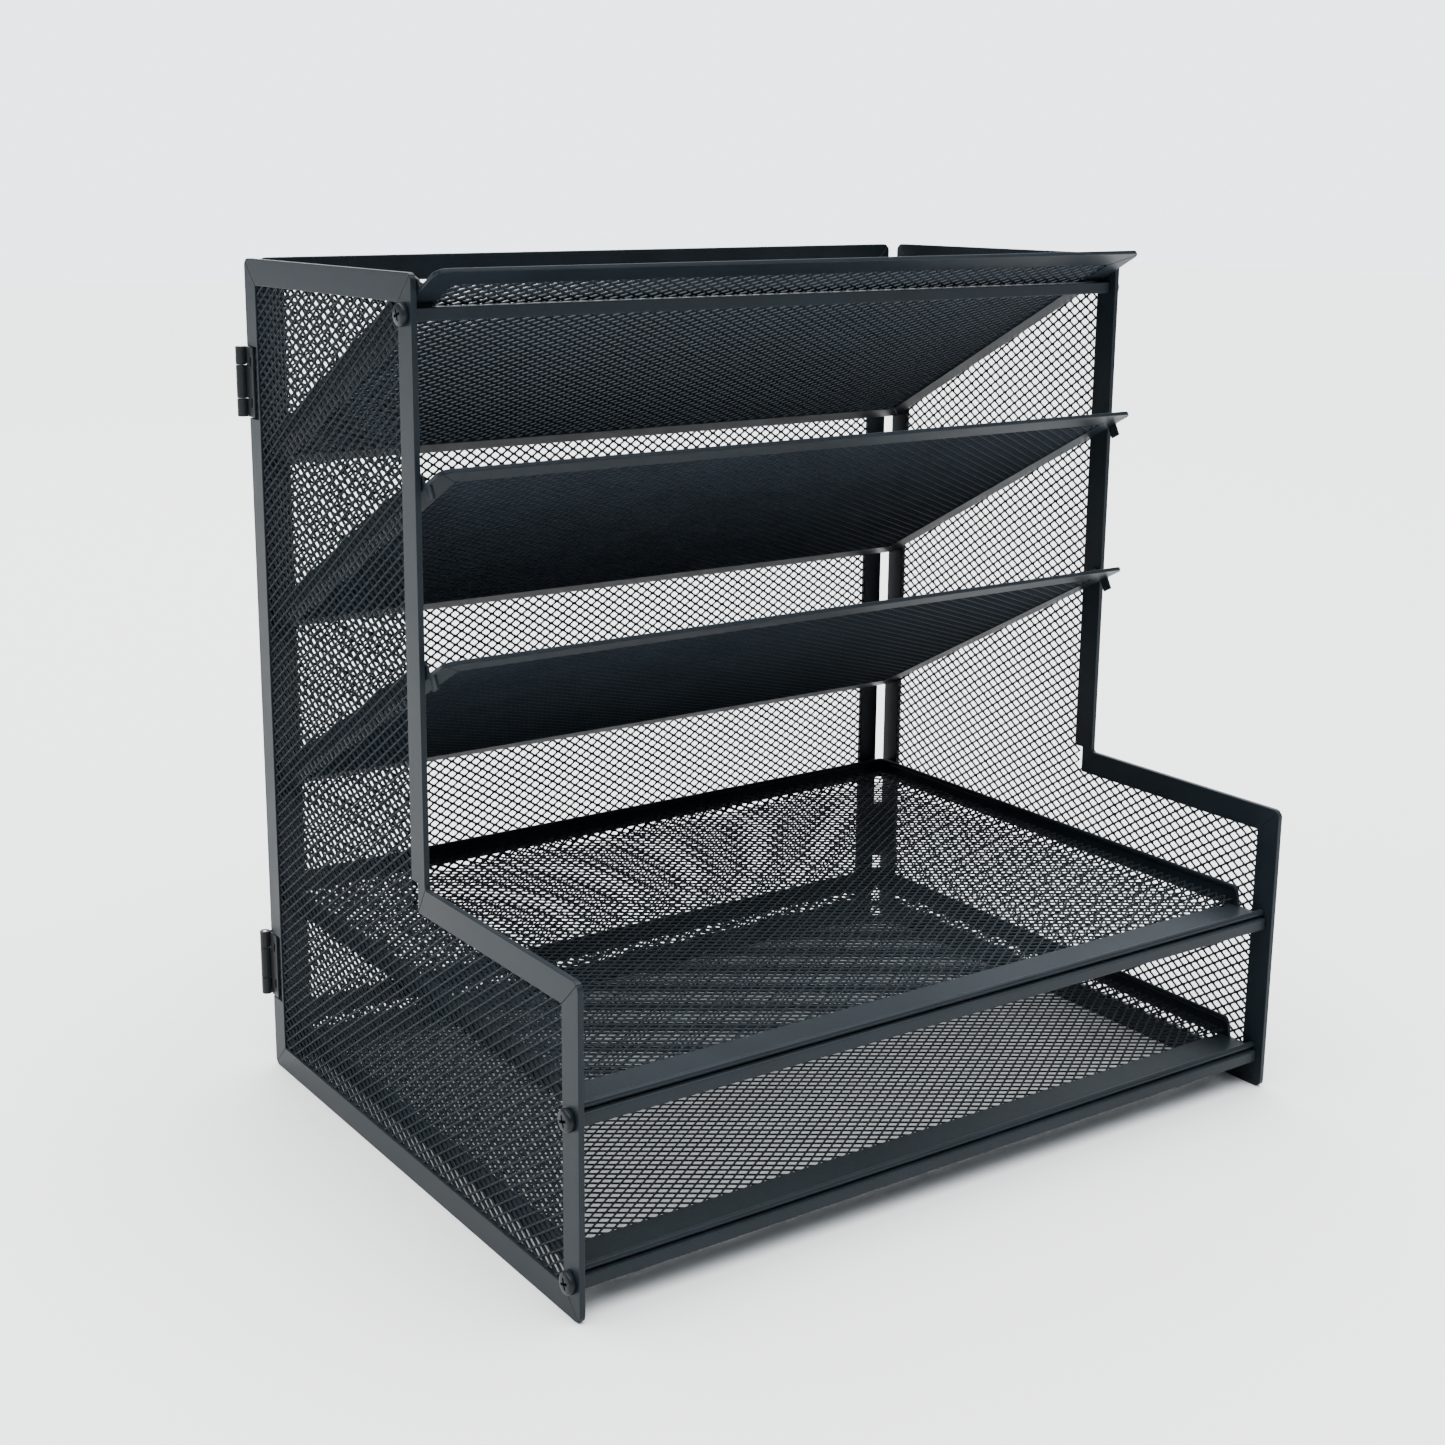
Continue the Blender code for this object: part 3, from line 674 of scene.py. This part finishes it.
TRAY_SHEET = 0.8 * MM
TRAY_WALL = 1.6 * MM
TRAY_CORNER = 4 * MM
MARGIN_WIDTH = 9 * MM
MARGIN_RISE = 3.2 * MM
RIM_SETBACK = 12.3 * MM  # ends of the side rims behind the front bead's face
RIM_DROP = 2.6 * MM  # length over which a side rim's end rounds down
BORDER_DEPTH = 17 * MM  # front border, from the bead's face to its rear edge
BEAD_RADIUS = 1.25 * MM
BORDER_LIFT = 0.2 * MM  # border over the tray's sheet
RIM_START = 0.16  # share of its height at which a side rim's end starts
RIM_STEPS = 8
LATTICE_REACH = 0.4 * MM  # lattice hidden in the rim's wall
LATTICE_OVERLAP = 2 * MM  # lattice hidden under the border
TRAY_EDGE = 0.25 * MM


def sweep(name, path, profile, heights):
    """Sweeps a closed profile (inward, up) along a level path, scaling up by heights."""
    shape = bmesh.new()
    rings = []
    for index, point in enumerate(path):
        before = path[max(index - 1, 0)]
        after = path[min(index + 1, len(path) - 1)]
        arriving = (point - before).normalized() if index else (after - point).normalized()
        leaving = (after - point).normalized() if after != point else arriving
        along = (arriving + leaving).normalized()
        inward = Vector((along.y, -along.x))
        stretch = 1 / max(along.dot(arriving), 0.5)
        ring = []
        for offset, up in profile:
            flat = point + inward * offset * stretch
            ring.append(shape.verts.new((flat.x, flat.y, up * heights[index])))
        rings.append(ring)
    for ring, following in zip(rings, rings[1:]):
        for i in range(len(profile)):
            j = (i + 1) % len(profile)
            shape.faces.new((ring[i], ring[j], following[j], following[i]))
    shape.faces.new(rings[0])
    shape.faces.new(reversed(rings[-1]))
    bmesh.ops.recalc_face_normals(shape, faces=shape.faces)
    return from_bmesh(name, shape)


def rim_path(half, front, rear):
    """Plan of a tray's rim, from its front left end round the back to its front right."""
    drop = [front + RIM_DROP * step / RIM_STEPS for step in range(RIM_STEPS + 1)]
    path = [Vector((-half, y)) for y in drop]
    for sign, start in ((-1, 180), (1, 90)):
        centre = Vector((sign * (half - TRAY_CORNER), rear - TRAY_CORNER))
        for step in range(ARC_STEPS + 1):
            angle = math.radians(start - 90 * step / ARC_STEPS)
            path.append(centre + TRAY_CORNER * Vector((math.cos(angle), math.sin(angle))))
    path += [Vector((half, y)) for y in reversed(drop)]
    return path


def tray(level):
    """Letter tray: swept rim, front border with its rolled bead, and dished lattice."""
    node = level + "_tray_rim"
    half = high(node).x
    front = low(node).y
    rear = high(node).y
    base = low(node).z
    rim_height = high(node).z - base
    path = rim_path(half, front + RIM_SETBACK, rear)
    wall = TRAY_WALL
    profile = [
        (0.25 * MM, 0),
        (wall - 0.5 * MM, 0),
        (wall - 0.5 * MM, rim_height - 2.2 * MM),
        (wall, rim_height - 1.8 * MM),
        (wall + 0.15 * MM, rim_height - 0.9 * MM),
        (wall - 0.15 * MM, rim_height - 0.25 * MM),
        (wall / 2, rim_height),
        (0.3 * MM, rim_height - 0.2 * MM),
        (0, rim_height - 0.9 * MM),
    ]
    heights = []
    for point in path:
        run = min((point.y - path[0].y) / RIM_DROP, 1)
        heights.append(RIM_START + (1 - RIM_START) * math.sqrt(1 - (1 - run) ** 2))
    rim = sweep(level + "_tray_rim_wall", path, profile, heights)
    for vertex in rim.data.vertices:
        vertex.co.z += base
    shape = bmesh.new()
    shape.from_mesh(rim.data)
    bead_z = base + BEAD_RADIUS + TRAY_SHEET / 2
    border_high = base + TRAY_SHEET + BORDER_LIFT
    add_box(shape, (-half, front + BEAD_RADIUS, base), (half, front + BORDER_DEPTH, border_high))
    add_rod(
        shape, (-half, front + BEAD_RADIUS, bead_z), (half, front + BEAD_RADIUS, bead_z), BEAD_RADIUS
    )
    shape.to_mesh(rim.data)
    shape.free()
    round_edges(rim, TRAY_EDGE, segments=2, angle=50)
    finish(rim, node, "back", FRAME_COAT)

    floor = base + TRAY_SHEET / 2
    inner = half - wall + LATTICE_REACH
    back = rear - wall + LATTICE_REACH
    forward = front + BORDER_DEPTH - LATTICE_OVERLAP

    def lattice_place(x, y, depth):
        side_climb = (abs(x) - (inner - MARGIN_WIDTH)) / MARGIN_WIDTH
        back_climb = (y - (back - MARGIN_WIDTH)) / MARGIN_WIDTH
        climb = min(max(side_climb, back_climb, 0), 1)
        eased = climb * climb * (3 - 2 * climb) * 0.5 + climb * 0.5
        return Vector((x, y, floor + eased * MARGIN_RISE + depth))

    across, along = PITCH

    def inside(x, y):
        return abs(x) < inner + across / 2 and forward - along < y < back + along

    mesh = lattice(
        level + "_tray_lattice", inside, (-half - across, half + across),
        (front, rear + along), lattice_place, thickness=TRAY_LATTICE_DEPTH,
    )
    shape = bmesh.new()
    shape.from_mesh(mesh.data)
    for point, away in (
        ((-inner, 0, 0), (-1, 0, 0)),
        ((inner, 0, 0), (1, 0, 0)),
        ((0, back, 0), (0, 1, 0)),
        ((0, forward, 0), (0, -1, 0)),
    ):
        everything = shape.verts[:] + shape.edges[:] + shape.faces[:]
        bmesh.ops.bisect_plane(
            shape, geom=everything, plane_co=point, plane_no=away, clear_outer=True
        )
    shape.to_mesh(mesh.data)
    shape.free()
    finish(mesh, level + "_tray_mesh", "back", MESH_COAT)


# ---------------------------------------------------------------- crossbars and screws

BORE_RADIUS = 1.8 * MM
BORE_DEPTH = 7 * MM
BORE_OVERRUN = 1 * MM
BAR_EDGE = 1 * MM
HEAD_RADIUS = 4 * MM
HEAD_HEIGHT = 2.4 * MM
CROSS_LENGTH = 5.6 * MM
CROSS_WIDTH = 1 * MM
CROSS_DEPTH = 1.8 * MM
CROSS_TURN = 20  # degrees
SHANK_RADIUS = 1.2 * MM
POINT_LENGTH = 0.8 * MM
PLAIN_LENGTH = 2.6 * MM  # shank without thread, under the head
THREAD_RADIUS = 1.45 * MM
THREAD_PITCH = 0.7 * MM


def crossbar(name):
    """Crossbar with rounded edges and a bore in either end for its screws."""
    node = name + "_crossbar"
    bar = box(name + "_bar", low(node), high(node))
    bores = []
    for sign in (-1, 1):
        screw_centre = middle(f"left_{name}_screw")
        end = Vector((sign * high(node).x, screw_centre.y, screw_centre.z))
        inward = Vector((sign * BORE_DEPTH, 0, 0))
        outward = Vector((sign * BORE_OVERRUN, 0, 0))
        bores.append(rod("bore", end - inward, end + outward, BORE_RADIUS))
    cut(bar, *bores)
    round_edges(bar, BAR_EDGE, segments=4, angle=60)
    finish(bar, node, "back", FRAME_COAT)


def screw(side, sign, name):
    """Pan-head screw with a cross recess and a helical thread."""
    node = f"{side}_{name}_screw"
    centre = middle(node)
    outer = sign * max(abs(low(node).x), abs(high(node).x))
    tip = sign * min(abs(low(node).x), abs(high(node).x))
    seat = outer - sign * HEAD_HEIGHT
    length = abs(seat - tip)

    profile = [
        (0, 1), (0.35, 0.993), (0.605, 0.963), (0.767, 0.919), (0.884, 0.844), (0.958, 0.722),
        (0.993, 0.593), (1, 0.444), (1, 0.074), (0.977, 0),
    ]
    shape = bmesh.new()
    points = [shape.verts.new((x * HEAD_RADIUS, 0, z * HEAD_HEIGHT)) for x, z in profile]
    points.append(shape.verts.new((SHANK_RADIUS, 0, 0)))
    points.append(shape.verts.new((SHANK_RADIUS, 0, POINT_LENGTH - length)))
    points.append(shape.verts.new((0, 0, -length)))
    for upper, lower in zip(points, points[1:]):
        shape.edges.new((upper, lower))
    piece = from_bmesh(node + "_turned", shape)
    turned = piece.modifiers.new("turned", "SCREW")
    turned.steps = 48
    turned.render_steps = 48
    turned.use_merge_vertices = True
    turned.merge_threshold = 0.00001
    settle(piece)

    cut(piece, *cross_blades())
    join(piece, screw_thread(length))
    piece.data.shade_smooth()
    piece.data.set_sharp_from_angle(angle=math.radians(35))
    turn = Matrix.Rotation(math.radians(90) * sign, 4, "Y")
    piece.data.transform(Matrix.Translation((seat, centre.y, centre.z)) @ turn)
    finish(piece, node, side + "_side", SCREW_COAT)


def cross_blades():
    """Cutters of a head's cross recess, whose arms narrow to half their length at the bottom."""
    blades = []
    for angle in (0, 90):
        blade_low = (-CROSS_LENGTH / 2, -CROSS_WIDTH / 2, HEAD_HEIGHT - CROSS_DEPTH)
        blade_high = (CROSS_LENGTH / 2, CROSS_WIDTH / 2, HEAD_HEIGHT + CROSS_DEPTH)
        blade = box("blade", blade_low, blade_high)
        for vertex in blade.data.vertices:
            if vertex.co.z < HEAD_HEIGHT:
                vertex.co.x *= 0.5
        blade.data.transform(Matrix.Rotation(math.radians(angle + CROSS_TURN), 4, "Z"))
        blades.append(blade)
    return blades


def screw_thread(length):
    """Helical thread on a shank of this length."""
    shape = bmesh.new()
    turns = int((length - PLAIN_LENGTH) / THREAD_PITCH)
    start = THREAD_PITCH * 1.3 - length
    tooth = [
        (SHANK_RADIUS - 0.1 * MM, 0),
        (THREAD_RADIUS, THREAD_PITCH * 0.45),
        (SHANK_RADIUS - 0.1 * MM, THREAD_PITCH * 0.9),
    ]
    teeth = [shape.verts.new((x, 0, start + z)) for x, z in reversed(tooth)]
    for upper, lower in zip(teeth, teeth[1:]):
        shape.edges.new((upper, lower))
    thread = from_bmesh("thread", shape)
    helix = thread.modifiers.new("helix", "SCREW")
    helix.steps = 24
    helix.render_steps = 24
    helix.screw_offset = THREAD_PITCH
    helix.iterations = turns
    return settle(thread)


# ---------------------------------------------------------------- hinges

BARREL_RADIUS = 2.1 * MM
PIN_RADIUS = 0.9 * MM
PIN_EDGE = 0.25 * MM
BORE = 1.05 * MM
KNUCKLE = 12.6 * MM
LEAF = 0.9 * MM
LEAF_SETBACK = 1.2 * MM  # side leaf's outer face, inside the pin's axis
LEAF_GAP = 0.3 * MM  # between a leaf and the other leaf's knuckles
LEAF_TONGUE = 0.5 * MM  # how far short of the axis a leaf ends in its own barrel
LEAF_LIFT = 0.05 * MM  # back leaf off the back frame
LEAF_EDGE = 0.16 * MM
FIXING_OFFSET = 7.9 * MM  # slots and rivets, above and below the hinge's middle
SLOT_SETBACK = 6.1 * MM  # slots' middle in front of the axis
SLOT_RADIUS = 0.8 * MM
SLOT_STRAIGHT = 2.3 * MM  # straight stretch between the slot's round ends
SLOT_STEPS = 24
RIVET_RADIUS = 1.7 * MM
RIVET_INSET = 3.6 * MM  # from the back leaf's inner end
RIVET_FLATTENING = 0.45


def knuckle(shape, axis, bottom, top):
    """Adds a barrel knuckle with its bore to a bmesh."""
    segments = 40
    rings = []
    for radius, z in ((BORE, bottom), (BARREL_RADIUS, bottom), (BARREL_RADIUS, top), (BORE, top)):
        ring = []
        for step in range(segments):
            angle = 2 * math.pi * step / segments
            place = (axis.x + radius * math.cos(angle), axis.y + radius * math.sin(angle), z)
            ring.append(shape.verts.new(place))
        rings.append(ring)
    for k in range(4):
        for step in range(segments):
            following = (step + 1) % segments
            here = rings[k]
            there = rings[(k + 1) % 4]
            shape.faces.new((here[step], here[following], there[following], there[step]))


def slot_cutter(x_near, x_far, y, z):
    """Upright slot with round ends, through a leaf."""
    shape = bmesh.new()
    outline = []
    for step in range(SLOT_STEPS):
        angle = 2 * math.pi * step / SLOT_STEPS
        lift = SLOT_STRAIGHT / 2 if math.sin(angle) >= 0 else -SLOT_STRAIGHT / 2
        across = SLOT_RADIUS * math.cos(angle)
        outline.append(Vector((y + across, z + lift + SLOT_RADIUS * math.sin(angle))))
    prism(shape, outline, lambda v, w, x: Vector((x, v, w)), x_near, x_far)
    bmesh.ops.recalc_face_normals(shape, faces=shape.faces)
    return from_bmesh("slot", shape)


def hinge(side, sign, level):
    """Corner hinge: side leaf with slots, back leaf with rivets, and the pin."""
    name = f"{side}_{level}_hinge"
    pin_node = name + "_pin"
    axis = middle(pin_node)
    bottom = low(pin_node).z
    top = high(pin_node).z
    body = side + "_side"

    side_node = name + "_side_leaf"
    front = low(side_node).y
    face = sign * (abs(axis.x) - LEAF_SETBACK)
    shape = bmesh.new()
    shoulder = axis.y - BARREL_RADIUS - LEAF_GAP
    tongue = axis.y - LEAF_TONGUE
    low_z = axis.z - KNUCKLE / 2
    high_z = axis.z + KNUCKLE / 2
    outline = [
        Vector((front, bottom)),
        Vector((shoulder, bottom)),
        Vector((shoulder, low_z)),
        Vector((tongue, low_z)),
        Vector((tongue, high_z)),
        Vector((shoulder, high_z)),
        Vector((shoulder, top)),
        Vector((front, top)),
    ]
    prism(shape, outline, lambda y, z, x: Vector((x, y, z)), face, face - sign * LEAF)
    bmesh.ops.recalc_face_normals(shape, faces=shape.faces)
    leaf = from_bmesh(name + "_leaf_on_side", shape)
    slots = []
    for offset in (-FIXING_OFFSET, FIXING_OFFSET):
        ends = (face + sign * LEAF, face - sign * 2 * LEAF)
        slots.append(slot_cutter(*ends, axis.y - SLOT_SETBACK, axis.z + offset))
    cut(leaf, *slots)
    shape = bmesh.new()
    shape.from_mesh(leaf.data)
    knuckle(shape, axis, low_z, high_z)
    bmesh.ops.recalc_face_normals(shape, faces=shape.faces)
    shape.to_mesh(leaf.data)
    shape.free()
    round_edges(leaf, LEAF_EDGE, segments=2, angle=50)
    finish(leaf, side_node, body, HINGE_COAT)

    back_node = name + "_back_leaf"
    inner_x = sign * min(abs(low(back_node).x), abs(high(back_node).x))
    leaf_front = high("back_frame").y + LEAF_LIFT
    shoulder_x = axis.x - sign * (BARREL_RADIUS + LEAF_GAP)
    tongue_x = axis.x - sign * LEAF_TONGUE
    notch_low = low_z - LEAF_GAP
    notch_high = high_z + LEAF_GAP
    outline = [
        Vector((inner_x, bottom)),
        Vector((tongue_x, bottom)),
        Vector((tongue_x, notch_low)),
        Vector((shoulder_x, notch_low)),
        Vector((shoulder_x, notch_high)),
        Vector((tongue_x, notch_high)),
        Vector((tongue_x, top)),
        Vector((inner_x, top)),
    ]
    shape = bmesh.new()
    prism(shape, outline, lambda x, z, y: Vector((x, y, z)), leaf_front, leaf_front + LEAF)
    knuckle(shape, axis, bottom, notch_low)
    knuckle(shape, axis, notch_high, top)
    for offset in (-FIXING_OFFSET, FIXING_OFFSET):
        head = Vector((inner_x + sign * RIVET_INSET, leaf_front + LEAF, axis.z + offset))
        bmesh.ops.create_uvsphere(
            shape, u_segments=24, v_segments=12, radius=RIVET_RADIUS,
            matrix=Matrix.Translation(head) @ Matrix.Diagonal((1, RIVET_FLATTENING, 1, 1)),
        )
    bmesh.ops.recalc_face_normals(shape, faces=shape.faces)
    leaf = from_bmesh(name + "_leaf_on_back", shape)
    round_edges(leaf, LEAF_EDGE, segments=2, angle=50)
    finish(leaf, back_node, "back", HINGE_COAT)

    shape = bmesh.new()
    add_rod(shape, (axis.x, axis.y, bottom), (axis.x, axis.y, top), PIN_RADIUS, 32)
    pin = from_bmesh(name + "_drawn_pin", shape)
    round_edges(pin, PIN_EDGE, segments=3, angle=60)
    finish(pin, pin_node, "back", PIN_STEEL)


# ---------------------------------------------------------------- stage, light and camera

DIM_WORLD = 0.3
BRIGHT_WORLD = 8.0
BACKDROP = (0.553, 0.833, 0)  # direction from the front left towards the backdrop
BACKDROP_SHARE = 0.42  # its brightness, towards the zenith's
DIM_TINT = (0.82, 0.91, 1.0, 1)
FLOOR_HALF = 6  # metres
AIM = Vector((0, 0, 0.16))
CAMERA_PLACE = (-0.4734, -0.6337, 0.3611)
CAMERA_YAW = 33.604  # degrees
CAMERA_DIP = 12.85
CAMERA_ROLL = 0.1445


def plain_material(name, colour, roughness):
    """Matt stage surface."""
    material = bpy.data.materials.new(name)
    material.use_nodes = True
    shader = material.node_tree.nodes["Principled BSDF"]
    shader.inputs["Base Color"].default_value = (*colour, 1)
    shader.inputs["Roughness"].default_value = roughness
    return material


def surroundings():
    """White all round: brightest behind and above the sorter, dimmer and bluer elsewhere."""
    world = bpy.data.worlds.new("surroundings")
    world.use_nodes = True
    nodes = world.node_tree.nodes
    wire = world.node_tree.links.new
    background = nodes["Background"]
    place = nodes.new("ShaderNodeTexCoord")
    facing = nodes.new("ShaderNodeSeparateXYZ")
    wire(place.outputs["Generated"], facing.inputs["Vector"])
    towards = nodes.new("ShaderNodeVectorMath")
    towards.operation = "DOT_PRODUCT"
    towards.inputs[1].default_value = BACKDROP
    wire(place.outputs["Generated"], towards.inputs[0])
    behind = nodes.new("ShaderNodeMapRange")
    behind.interpolation_type = "SMOOTHSTEP"
    behind.inputs["From Min"].default_value = 0.75
    behind.inputs["From Max"].default_value = 0.92
    behind.inputs["To Max"].default_value = BACKDROP_SHARE
    wire(towards.outputs["Value"], behind.inputs["Value"])
    above = nodes.new("ShaderNodeMapRange")
    above.interpolation_type = "SMOOTHSTEP"
    above.inputs["From Min"].default_value = 0.55
    above.inputs["From Max"].default_value = 0.95
    wire(facing.outputs["Z"], above.inputs["Value"])
    bright = nodes.new("ShaderNodeMath")
    bright.operation = "MAXIMUM"
    wire(behind.outputs["Result"], bright.inputs[0])
    wire(above.outputs["Result"], bright.inputs[1])
    tint = nodes.new("ShaderNodeMix")
    tint.data_type = "RGBA"
    tint.inputs[6].default_value = DIM_TINT
    tint.inputs[7].default_value = (1, 1, 1, 1)
    wire(bright.outputs["Value"], tint.inputs[0])
    wire(tint.outputs[2], background.inputs["Color"])
    strength = nodes.new("ShaderNodeMapRange")
    strength.inputs["To Min"].default_value = DIM_WORLD
    strength.inputs["To Max"].default_value = BRIGHT_WORLD
    wire(bright.outputs["Value"], strength.inputs["Value"])
    wire(strength.outputs["Result"], background.inputs["Strength"])
    bpy.context.scene.world = world


def stage():
    """Pale floor and soft lights."""
    shape = bmesh.new()
    bmesh.ops.create_grid(shape, x_segments=1, y_segments=1, size=FLOOR_HALF)
    floor = from_bmesh("floor", shape)
    floor.data.materials.append(plain_material("pale_floor", (0.9, 0.9, 0.9), 0.9))
    floor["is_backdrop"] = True

    for name, place, size, power in (
        ("key", (-2.0, 0.4, 1.3), 1.2, 5),
        ("rear", (0.2, 1.6, 1.9), 1.6, 12),
    ):
        lamp = bpy.data.lights.new(name, "AREA")
        lamp.size = size
        lamp.energy = power
        light = bpy.data.objects.new(name, lamp)
        light.location = place
        light.rotation_euler = (AIM - Vector(place)).to_track_quat("-Z", "Y").to_euler()
        bpy.context.scene.collection.objects.link(light)


def camera():
    """Camera at the front left, a little above the sorter."""
    lens = bpy.data.cameras.new("camera")
    lens.lens = 51.44
    lens.sensor_width = 36
    lens.shift_x = 0.0467
    lens.shift_y = -0.0548
    lens.clip_start = 0.01
    viewer = bpy.data.objects.new("camera", lens)
    turn = (
        Matrix.Rotation(math.radians(-CAMERA_YAW), 4, "Z")
        @ Matrix.Rotation(math.radians(90 - CAMERA_DIP), 4, "X")
        @ Matrix.Rotation(math.radians(CAMERA_ROLL), 4, "Z")
    )
    viewer.matrix_world = Matrix.Translation(CAMERA_PLACE) @ turn
    bpy.context.scene.collection.objects.link(viewer)
    bpy.context.scene.camera = viewer


def main():
    camera()
    surroundings()
    stage()
    back_panel()
    for side, sign in SIDES.items():
        side_panel(side, sign)
        for name in BARS:
            screw(side, sign, name)
        for level in ("upper", "lower"):
            hinge(side, sign, level)
    for level in LEVELS:
        shelf(level)
    for level in ("upper", "lower"):
        tray(level)
    for name in BARS:
        crossbar(name)


main()

sizes = {"cad": CAD_BOUNDS, "visual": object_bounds()}
{name: [list(corner) for corner in pair] for name, pair in sizes.items()}
